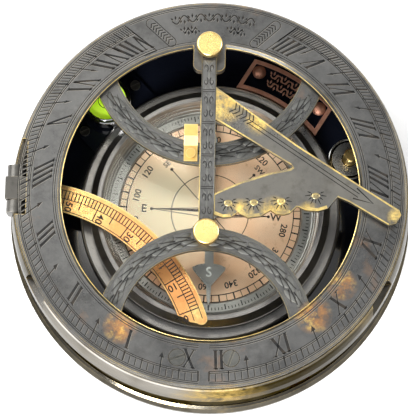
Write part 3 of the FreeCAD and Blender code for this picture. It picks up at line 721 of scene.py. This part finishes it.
def ring_details():
    """The engraving's black fill, a painted highlight beside each cut on its lower right side, and the
    rubbed inner edge.
    """
    work = Sheetwork(RING_TOP)
    hour_scale(work, -1, LEFT_HOURS)
    hour_scale(work, 1, RIGHT_HOURS)
    numeral(work, 1, 0, "X", gap=0.0, shift=-4.4)
    numeral(work, 1, 0, "II", gap=0.0, shift=4.3)
    noon_panel(work)
    # A pale copy of the engraving, shifted to the lower right, is a painted highlight along one side of each
    # cut.
    cut_highlight = Sheetwork(RING_TOP)
    offset, lower = 0.1, 0.012
    cut_highlight.points = [(x + offset, y - offset, height - lower) for x, y, height in work.points]
    cut_highlight.faces = [list(face) for face in work.faces]
    work.piece("hour_scale_engraving", "dial", "antique_brass", FILL)
    cut_highlight.piece("hour_scale_painted_highlights", "dial", "antique_brass", CUT_HIGHLIGHT)
    inner, chamfer, line = 44.75, 0.8, 0.17
    edge = lathe_mesh("ring_inner_edge", bead(inner, RING_TOP - chamfer, line, line), 384)
    cut_lug(edge)
    mesh_piece("ring_inner_edge", edge, "dial", WORN_AND_SHEEN)


def cut_lug(mesh):
    """Leave the noon lug clear of the ring's bright inner edge."""
    form = bmesh.new()
    form.from_mesh(mesh)
    half_lug = 4.8
    middles = {face: face.calc_center_median() for face in form.faces}
    doomed = [face for face, middle in middles.items() if abs(middle.x - NOON) < half_lug and middle.y > 0]
    bmesh.ops.delete(form, geom=doomed, context="FACES")
    bmesh.ops.holes_fill(form, edges=form.edges)
    form.to_mesh(mesh)
    form.free()


def catch_screw_seats():
    """A dark line round each catch screw's head."""
    low, high = low_high("ring_catch_screws")
    head = (high.y - low.y) / 2
    for name, x in (("west", low.x + head), ("east", high.x - head)):
        small_ring("catch_screw_seat_" + name, head + 0.08, RING_TOP - 0.04, 0.12, "dial",
                   FILL, (x, low.y + head), 64)


ring_details()
catch_screw_seats()


# -------------------- spider arcs


def spider_relief(name, centre_y, inner, outer, first, last):
    """Raised borders and a laurel of paired leaves, only where the hour ring leaves the arc clear."""
    centre = (NOON, centre_y)
    middle = (inner + outer) / 2
    clear_radius = 43.9
    lower_post_y, post_reach = -13.5, 3.2

    def inside_ring(angle, radius):
        return math.hypot(*polar(radius, angle, centre)) < clear_radius

    def clear_of_post(angle, radius):
        x, y = polar(radius, angle, centre)
        return math.hypot(x - NOON, y - lower_post_y) > post_reach

    borders = Sheetwork(SPIDER_TOP, proud=0.3)
    steps = 120
    for radius in (inner + 0.45, outer - 0.45):
        for index in range(steps):
            ends = [first + (last - first) * (index + part) / steps for part in (0, 1)]
            if all(inside_ring(angle, radius) for angle in ends):
                borders.arc(radius, *ends, 0.75, centre)
    leaves = Sheetwork(SPIDER_TOP)
    veins = Sheetwork(SPIDER_TOP)
    pitch = math.degrees(4.9 / middle)
    for index in range(int((last - first) / pitch)):
        angle = first + (index + 0.5) * pitch
        if not (inside_ring(angle, middle) and clear_of_post(angle, middle)):
            continue
        lean = 1 if angle > (first + last) / 2 else -1
        veins.between(-0.2, 0.38)
        for side in (-1, 1):
            spot = polar(middle + side * 0.95, angle + lean * side * pitch * 0.18, centre)
            leaves.dome(spot, angle + lean * 90 + side * lean * 20, (2.7, 0.95), 0.24, sides=16)
            rib = []
            for part in (0, 1):
                turn = angle + lean * (part - 0.5 + 0.18 * side) * 0.9 * pitch
                rib.append(polar(middle + side * (0.5 + 1.1 * part), turn, centre))
            veins.stroke(rib, lambda part: 0.3 - 0.2 * part)
        veins.between(0.0, 0.3)
        veins.stroke([polar(middle, angle + lean * pitch * part, centre) for part in (-0.5, 0.0, 0.5)], 0.22)
    leaves.piece(name, "dial", "antique_brass", LEAF, smooth=True)
    veins.piece(name + "_veins", "dial", "antique_brass", FILL)
    borders.piece(name + "_borders", "dial", "antique_brass", ANTIQUE_DARK)


spider_relief("upper_arc_laurel", 45.2, 29.8, 36.8, 190, 350)
spider_relief("lower_arc_laurel", -43.0, 25.6, 32.5, 0, 180)


# -------------------- gnomon


def on_plate(points):
    """Points of the gnomon's plate, given from the noon line, in the dial's own frame."""
    return [(NOON + x, y) for x, y in points]


def gnomon_relief():
    """Four half suns and a feathered arrow."""
    bosses = Sheetwork(PLATE_TOP)
    lines = Sheetwork(PLATE_TOP)
    for x, y in on_plate([(6.3, -3.9), (13.9, -3.6), (22.0, -3.1), (32.2, -1.3)]):
        bosses.dome((x, y - 0.4), 0, (1.3, 1.0), 0.16, sides=20)
        lines.between(0.02, 0.06)
        lines.arc(1.3, -200, 20, 0.22, (x, y), step=20)
        lines.between(0.0, 0.18)
        for eye in (-0.45, 0.45):
            lines.disc((x + eye, y - 0.35), 0.14, 8)
        lines.between(0.02, 0.04)
        for ray in range(9):
            angle = -200 + ray * 220 / 8
            tip = polar(3.2 if ray % 2 else 2.6, angle, (x, y))
            lines.stroke([polar(1.6, angle, (x, y)), tip], lambda part: 0.42 - 0.25 * part)
    for offset in (0.0, 1.0):
        shaft = [(12.2 - offset * 0.5, 21.2 - offset), (45.2 - offset * 0.5, -0.9 - offset)]
        lines.stroke(on_plate(shaft), 0.24)
    lines.stroke(on_plate([(44.4, 0.9), (49.2, -3.7), (43.2, -2.2)]), 0.45)
    for feather in range(6):
        x, y = 7.4 + 1.05 * feather, 24.8 - 0.73 * feather
        lines.stroke(on_plate([(x - 1.2, y - 1.3), (x + 0.7, y - 0.5), (x + 0.9, y + 1.5)]), 0.35)
    bosses.piece("gnomon_sun_bosses", "gnomon", "antique_brass", ANTIQUE_WARM, smooth=True)
    lines.piece("gnomon_engraving", "gnomon", "antique_brass", FILL)


def gnomon_rims():
    """The rims of the plate that folding has rubbed bright: its long sides, then its scalloped edge."""
    rims = Sheetwork(PLATE_TOP, 0.3, 0.04)
    sides = (([(2.3, 30.7), (26.8, 13.2), (44.2, 2.15), (56.6, -5.7)], 0.45),
             ([(53.8, -9.85), (42.25, -3.15), (38.7, -1.7)], 0.4),
             ([(2.4, 21.3), (24.9, 7.8)], 0.35),
             ([(2.4, -1.7), (5.5, -0.1), (10.6, 2.1), (18.1, 4.7), (24.6, 6.2), (25.5, 6.7)], 0.5))
    for line, width in sides:
        rims.stroke(on_plate(line), width)
    for line in (((35.6, -4.9), (32.8, -5.8), (29.5, -5.5)), ((24.7, -6.5), (22.8, -7.0), (20.7, -6.8)),
                 ((15.7, -7.6), (12.3, -8.1), (9.7, -6.9)), ((7.1, -8.0), (4.8, -8.2), (2.4, -7.3))):
        rims.stroke(on_plate(line), 0.9)
    rims.piece("gnomon_worn_rims", "gnomon", "bright_brass", WORN_AND_SHEEN)


def bar_relief():
    """Five panels of mirrored scrolls between double lines, and a painted highlight down the lit left edge.
    """
    top = BAR_HIGH.z
    scrolls = Sheetwork(top, proud=0.12)
    lines = Sheetwork(top)
    margin = 1.0
    panels = 5
    length = BAR_HIGH.y - BAR_LOW.y - 2 * margin
    for index in range(panels + 1):
        y = BAR_LOW.y + margin + length * index / panels
        for offset in (-0.3, 0.3):
            lines.stroke([(NOON + side * 1.95, y + offset) for side in (-1, 1)], 0.2)
    for side in (-1, 1):
        scrolls.stroke([(NOON + side * 2.0, y) for y in (BAR_LOW.y + 0.2, BAR_HIGH.y - 0.2)], 0.3)
    lines.between(SUNK, 0.06)
    for index in range(panels):
        middle = BAR_LOW.y + margin + length * (index + 0.5) / panels
        scrolls.dome((NOON, middle), 90, (1.3, 0.4), 0.2)
        for side in (-1, 1):
            for lift in (-1, 1):
                eye = (NOON + side * 0.95, middle + lift * 2.1)
                scroll = []
                for step in range(15):
                    turn = math.radians(-60 + 24 * step) * lift
                    radius = 1.0 - 0.055 * step
                    scroll.append((eye[0] - side * radius * 0.75 * math.cos(turn),
                                   eye[1] + radius * 1.35 * math.sin(turn)))
                lines.stroke(scroll, 0.24)
                scrolls.dome(eye, 90, (0.5, 0.34), 0.18)
                leaf = (NOON + side * 0.75, middle + lift * 3.75)
                scrolls.dome(leaf, 90 - side * lift * 30, (0.8, 0.32), 0.17)
    scrolls.piece("gnomon_bar_scrollwork", "gnomon", "antique_brass", LEAF, smooth=True)
    lines.piece("gnomon_bar_engraving", "gnomon", "antique_brass", FILL)
    # The bright strip down the bar's left edge is a painted highlight for its lit side.
    edge = Sheetwork(top, 1.2, 0.06)
    left = BAR_LOW.x + 0.05
    edge.stroke([(left, BAR_LOW.y + 0.3), (left, 27.0)], 0.45)
    edge.piece("gnomon_bar_painted_highlight", "gnomon", "bright_brass", WORN_AND_SHEEN)


def knob_rings():
    """Turned rings left by the lathe on each post knob's face."""
    low, high = low_high("post_knobs")
    radius = (high.x - low.x) / 2
    face = radius - 0.9
    steps = 5
    for name, y in (("upper", high.y - radius), ("lower", low.y + radius)):
        profile = [(0.0, high.z - 0.1)]
        for step in range(steps):
            inner, outer = face * step / steps, face * (step + 1) / steps
            profile += [(inner + 0.08, high.z - 0.01), (outer - 0.08, high.z - 0.01), (outer, high.z - 0.06)]
        profile.append((0.0, high.z - 0.2))
        mesh = lathe_mesh("knob", profile, 64, (NOON, y))
        mesh_piece("knob_face_" + name, mesh, "dial", BRIGHT)


gnomon_relief()
gnomon_rims()
bar_relief()
knob_rings()


# -------------------- compass

# The bearing of the card's north letter, and the way its upright letters face.
CARD_NORTH = -93.0
CARD_UPRIGHT = CARD_NORTH - 180


def card_print():
    """The card's circles, degree marks and numbers, its eight-pointed rose and the compass letters."""
    work = Sheetwork(CARD_TOP)
    scale_inner, scale_outer = 26.6, 28.8
    rose = 18.4
    for radius, width in ((12.3, 0.25), (scale_inner, 0.3), (scale_outer, 0.3), (2.6, 0.2)):
        work.arc(radius, 0, 360, width, step=4)
    for index in range(72):
        bearing = CARD_NORTH - 5 * index
        work.stroke([polar(scale_inner, bearing), polar(scale_outer, bearing)], 0.2 if index % 2 else 0.45)
    for index in range(18):
        bearing = CARD_NORTH - 20 * index
        work.glyphs(str(20 * index or 360), polar(23.9, bearing), 2.1, bearing)
    for index, letters in enumerate(("N", "NE", "E", "SE", "S", "SW", "W", "NW")):
        bearing = CARD_NORTH - 45 * index
        if index % 2:
            work.stroke([polar(1.5, bearing), polar(rose, bearing)], 0.25)
        else:
            tip = polar(rose, bearing)
            for spread in (-75, 75):
                work.stroke([polar(1.6, bearing + spread), tip], 0.22)
            work.prism([polar(1.2, bearing - 80), tip, polar(0.4, bearing)])
        work.disc(polar(rose + 0.2, bearing), 0.5, 12)
        size, facing = (1.7, bearing) if index % 2 else (2.5, CARD_UPRIGHT)
        work.glyphs(letters, polar(21.0, bearing), size, facing)
    work.piece("compass_card_print", "case", "copper", INK)


def chapter_print():
    """Two-degree ticks round the grey ring, every fifth one longer."""
    work = Sheetwork(CHAPTER_TOP)
    for index in range(180):
        inner, width = (30.6, 0.24) if index % 5 else (29.8, 0.36)
        work.stroke([polar(inner, 2 * index), polar(31.5, 2 * index)], width)
    work.piece("chapter_ring_ticks", "case", "gunmetal", FILL)


def needle_details():
    """The S in the needle's south arrow, and the bright line along the arrow's edges."""
    top = top_of("compass_needle")
    tip = -low_high("compass_needle")[0].y
    letter = Sheetwork(top, proud=0.04)
    letter.glyphs("S", (0.0, 10.3 - tip), 3.1, 90)
    letter.piece("needle_letter", "needle", "gunmetal", PALE_INK)
    ridge = Sheetwork(top, proud=0.06)
    edge = ((1.2, 12.8), (3.4, 12.4), (4.9, 11.6), (4.8, 11.0), (3.4, 9.2), (2.2, 8.0), (0.6, 6.2))
    for side in (-1, 1):
        ridge.stroke([(side * across, above - tip) for across, above in edge], 0.2)
    ridge.piece("needle_ridge", "needle", "gunmetal", STEEL)


def bezel_bands():
    """Pale lines on the bezel's turned steps, painted highlights along their edges."""
    top = top_of("compass_bezel")
    outer = low_high("compass_bezel")[1].x
    lines = ((outer - 2.4, top, 0.22), (outer - 0.1, top - 2.0, 0.2), (outer - 3.55, top, 0.16))
    for index, (radius, height, width) in enumerate(lines, start=1):
        mesh = lathe_mesh("bezel_line", bead(radius, height, width, width * 0.6))
        mesh_piece(f"bezel_bright_line_{index}", mesh, "case", PEWTER)


def bowl_ridges():
    """Turned steps on the bowl's sloping wall, and the bead round its flange."""
    steps = ((32.5, 13.6, 0.35), (33.2, 15.1, 0.3), (33.9, 16.6, 0.3))
    for index, (radius, height, thick) in enumerate(steps, start=1):
        small_ring(f"bowl_ridge_{index}", radius, height, thick, "case", GUNMETAL)
    flange_top = 13.8
    small_ring("flange_bead", 40.6, flange_top, 0.3, "case", GUNMETAL)


card_print()
chapter_print()
needle_details()
bezel_bands()
bowl_ridges()


# -------------------- latitude arc


def latitude_scale():
    """Degree lines and tens along the arc's outer band, and its rim rubbed bright."""
    centre = (-58.4, -54.7)
    outer, inner = 61.3, 53.0
    zero, per_degree = 22.0, 1.095
    tip, root = 18.6, 84.5
    last_degree = 56
    band_outer, band_inner = outer - 1.5, outer - 4.1
    foot = inner + 0.5
    work = Sheetwork(ARC_TOP)
    for radius, start in ((band_outer, tip), (band_inner, tip), (foot, zero)):
        work.arc(radius, start, root, 0.24, centre)
    for degree in range(last_degree + 1):
        angle = zero + degree * per_degree
        low = band_inner
        if degree % 5 == 0:
            low = band_inner - 2.2
        if degree % 10 == 0:
            low = foot
        work.stroke([polar(low, angle, centre), polar(band_outer, angle, centre)], 0.36)
    for degree in range(0, last_degree, 10):
        angle = zero - 2.0 + degree * per_degree
        work.glyphs(str(degree), polar(55.0, angle, centre), 2.3, angle - 90)
    work.piece("latitude_scale_engraving", "latitude_arm", "copper", INK)
    rim = Sheetwork(ARC_TOP, 0.5, 0.04)
    rim.arc(outer - 0.12, 19.5, root, 0.28, centre)
    rim.piece("latitude_arc_bright_rim", "latitude_arm", "bright_brass", BRIGHT)


latitude_scale()


# -------------------- level, nameplate and levelling screws


def level_details():
    """The sighting circle on the level's lens, its bubble, and the beads of its housing."""
    low, high = low_high("level_housing")
    centre = ((low.x + high.x) / 2, (low.y + high.y) / 2)
    lens_top = top_of("level_lens")
    small_ring("level_sight_circle", 2.6, lens_top, 0.12, "case", FILL, centre, 64)
    profile = []
    for step in range(13):
        turn = math.radians(-90 + 15 * step)
        profile.append((1.9 * math.cos(turn), lens_top - 1.3 + 0.5 * math.sin(turn)))
    bubble = lathe_mesh("level_bubble", profile, 48, (centre[0] + 0.8, centre[1] - 0.5), closed=False)
    mesh_piece("level_bubble", bubble, "case", LENS)
    small_ring("level_inner_lip", 6.5, high.z, 0.3, "case", CHROME, centre, 96)
    small_ring("level_outer_bead", 7.5, high.z - 0.3, 0.35, "case", CHROME, centre, 96)


def nameplate_ornament():
    """Two running vines in copper on the nameplate's black field."""
    work = Sheetwork(top_of("nameplate_inlay"), proud=0.12)
    for radius in (49.3, 46.3):
        vine(work, radius, 49.5, 67.5, swing=0.8, waves=4, width=0.32)
    work.piece("nameplate_vine", "case", "copper", ROSE)


def threaded_stud(name, place, crest, top, foot, head_top):
    """Levelling screw: knurled foot below, threaded stud above, as one closed mesh."""
    sides, flutes = 96, 16
    pitch, depth = 0.8, 0.32
    levels = [(0.0, foot - 1.5, "plain"), (1.2, foot, "plain"), (1.3, foot, "knurled"),
              (head_top - 0.4, foot, "knurled"), (head_top, foot - 0.4, "plain"), (head_top, crest, "plain")]
    thread = top - 0.5 - head_top
    steps = int(thread / (pitch / 6))
    levels += [(head_top + thread * step / steps, crest, "threaded") for step in range(steps + 1)]
    levels += [(top - 0.45, crest - 0.1, "plain"), (top, crest - 0.5, "plain")]
    points, faces = [], []
    for height, radius, finish in levels:
        for index in range(sides):
            part = index / sides
            reach = radius
            if finish == "knurled":
                reach -= 0.3 * abs(math.sin(flutes * 2 * math.pi * part))
            if finish == "threaded":
                reach -= depth * abs(2 * ((height / pitch - part) % 1.0) - 1)
            points.append((*polar(reach, 360 * part, place), height))
    for low in range(0, (len(levels) - 1) * sides, sides):
        high = low + sides
        for index in range(sides):
            after = (index + 1) % sides
            faces.append([low + index, low + after, high + after, high + index])
    faces.append(list(range(sides))[::-1])
    faces.append([(len(levels) - 1) * sides + index for index in range(sides)])
    mesh = bpy.data.meshes.new(name)
    mesh.from_pydata(points, [], faces)
    mesh.shade_smooth()
    mesh.set_sharp_from_angle(angle=math.radians(35))
    return mesh


def levelling_screws():
    """The threaded screws, with a rim round each well and a turned face on each boss that can be seen."""
    floor_top = top_of("floor_plate")
    face_low, face_high = floor_top - 0.1, floor_top + 0.06
    face = [(2.5, face_low), (5.5, face_low), (5.5, face_high), (2.5, face_high)]
    for where in ("right", "rear", "front"):
        node = "levelling_screw_" + where
        low, high = low_high(node)
        place = ((low.x + high.x) / 2, (low.y + high.y) / 2)
        foot = (high.x - low.x) / 2
        stud = mesh_piece("threaded_" + node, threaded_stud(node, place, 2.25, high.z, foot, 5.4),
                          where + "_screw", BRIGHT)
        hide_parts(node)
        if where != "rear":
            small_ring(f"well_rim_{where}", 6.4, floor_top, 0.35, "case", STEEL, place, 64)
            mesh = lathe_mesh("boss_face", face, 64, place)
            mesh_piece(f"boss_face_{where}", mesh, "case", STEEL)


level_details()
nameplate_ornament()
levelling_screws()


# -------------------- stage, light and camera


def area_light(name, energy, size, place, target, color=(1, 1, 1)):
    """A square lamp of a size in metres that faces its target."""
    lamp = bpy.data.lights.new(name, "AREA")
    lamp.energy = energy
    lamp.size = size
    lamp.color = color
    holder = placed(name, lamp)
    holder.location = place
    holder.rotation_euler = (Vector(target) - Vector(place)).to_track_quat("-Z", "Y").to_euler()


def studio():
    """A pale paper floor, an even white surround and four soft lamps."""
    mesh = bpy.data.meshes.new("studio_floor")
    reach = 1.5
    corners = [(-reach, -reach, 0), (reach, -reach, 0), (reach, reach, 0), (-reach, reach, 0)]
    mesh.from_pydata(corners, [], [(0, 1, 2, 3)])
    floor = placed("studio_floor", mesh)
    tree = Nodes("studio_paper")
    tone = tree.mix(tree.ramp(tree.noise(30, 2), 0.3, 0.7), (0.86, 0.86, 0.86), (0.88, 0.88, 0.88))
    mesh.materials.append(tree.finish(tone, 0.9, 0.0))
    world = bpy.data.worlds.new("studio_world")
    bpy.context.scene.world = world
    world.use_nodes = True
    background = world.node_tree.nodes["Background"]
    background.inputs["Color"].default_value = (1.0, 1.0, 1.0, 1)
    background.inputs["Strength"].default_value = 0.72
    dial = (0, 0, 0.03)
    area_light("key_light", 11.0, 0.8, (-0.75, 0.3, 0.75), dial)
    area_light("fill_light", 7.0, 0.5, (0.8, 0.2, 0.6), dial)
    area_light("front_light", 15.0, 0.35, (-0.25, -0.7, 0.62), dial)
    area_light("card_light", 0.22, 0.1, (-0.06, 0.17, 0.8), (0, 0, 0.01), (1.0, 0.95, 0.85))


def camera():
    """Looks down on the folded dial from its front, about 11 degrees off the vertical."""
    shot = bpy.data.cameras.new("photo_camera")
    shot.sensor_width = 36
    shot.lens = 148.0
    shot.clip_start = 0.05
    holder = placed("photo_camera", shot)
    holder.location = (0.0, -0.102, 0.546)
    aim = Vector((-0.0018, -0.0052, RING_TOP * MM))
    holder.rotation_euler = (aim - holder.location).to_track_quat("-Z", "Y").to_euler()
    bpy.context.scene.camera = holder
    bpy.context.scene.view_settings.view_transform = "Standard"


studio()
camera()
